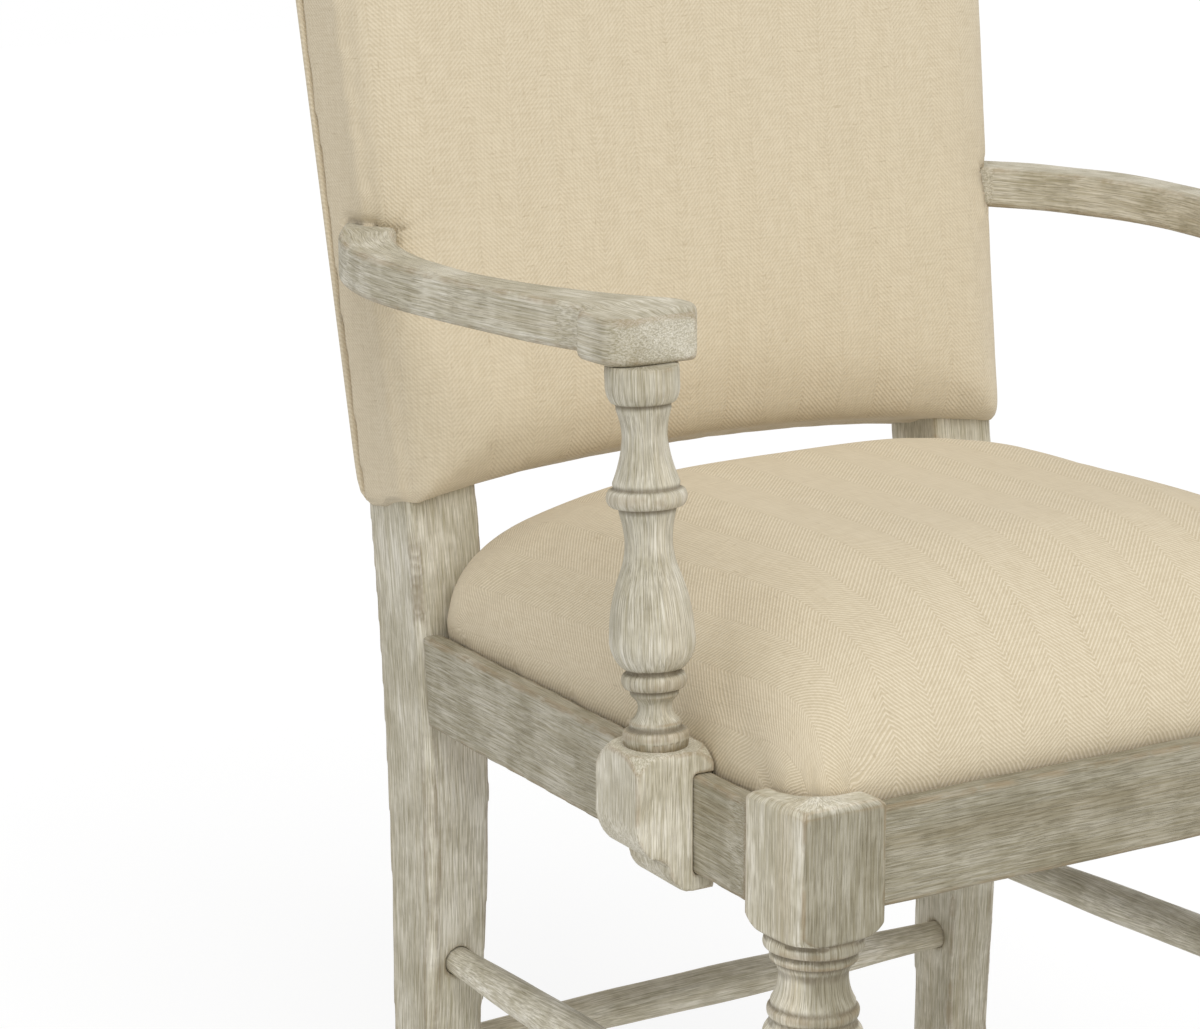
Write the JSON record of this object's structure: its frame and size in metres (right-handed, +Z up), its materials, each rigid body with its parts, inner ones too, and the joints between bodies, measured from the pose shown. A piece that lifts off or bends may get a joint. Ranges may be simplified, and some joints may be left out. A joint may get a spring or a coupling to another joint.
{
  "type": "dining armchair",
  "caption": "Upholstered dining armchair with limed wood frame, turned front legs and arm posts, bowed arms, drop-in seat and padded back in beige herringbone cloth.",
  "frame": {"origin": "middle of the overall box at floor level", "axes": "+Z up, the sitter faces -Y, +X to the right seen from the front"},
  "size_m": [0.557, 0.5665, 1.0327],
  "materials": {
    "limed_wood": "satin",
    "plain_wood": "matte",
    "herringbone_cloth": "matte",
    "foam": "matte",
    "webbing": "matte",
    "steel": "satin",
    "glide": "matte"
  },
  "bodies": {
    "root": {"front_leg_left": "limed_wood", "front_leg_right": "limed_wood", "rear_leg_left": "limed_wood", "rear_leg_right": "limed_wood", "front_seat_rail": "limed_wood", "rear_seat_rail": "limed_wood", "side_seat_rail_left": "limed_wood", "side_seat_rail_right": "limed_wood", "side_stretcher_left": "limed_wood", "side_stretcher_right": "limed_wood", "front_stretcher": "limed_wood", "rear_stretcher": "limed_wood", "arm_left": "limed_wood", "arm_right": "limed_wood", "arm_post_left": "limed_wood", "arm_post_right": "limed_wood", "arm_bracket_left": "limed_wood", "arm_bracket_right": "limed_wood", "corner_block_front_left": "plain_wood", "corner_block_front_right": "plain_wood", "corner_block_rear_left": "plain_wood", "corner_block_rear_right": "plain_wood", "crest_rail": "plain_wood", "lower_back_rail": "plain_wood", "seat_board": "plain_wood", "seat_cover": "herringbone_cloth", "inside_back_cover": "herringbone_cloth", "outside_back_panel": "herringbone_cloth", "seat_foam": "foam", "back_foam": "foam", "back_webbing": "webbing", "dust_cover": "webbing", "corner_block_screws": "steel", "seat_screws": "steel", "arm_bracket_screws": "steel", "arm_screws": "steel", "foot_glides": "glide"}
  },
  "joints": []
}
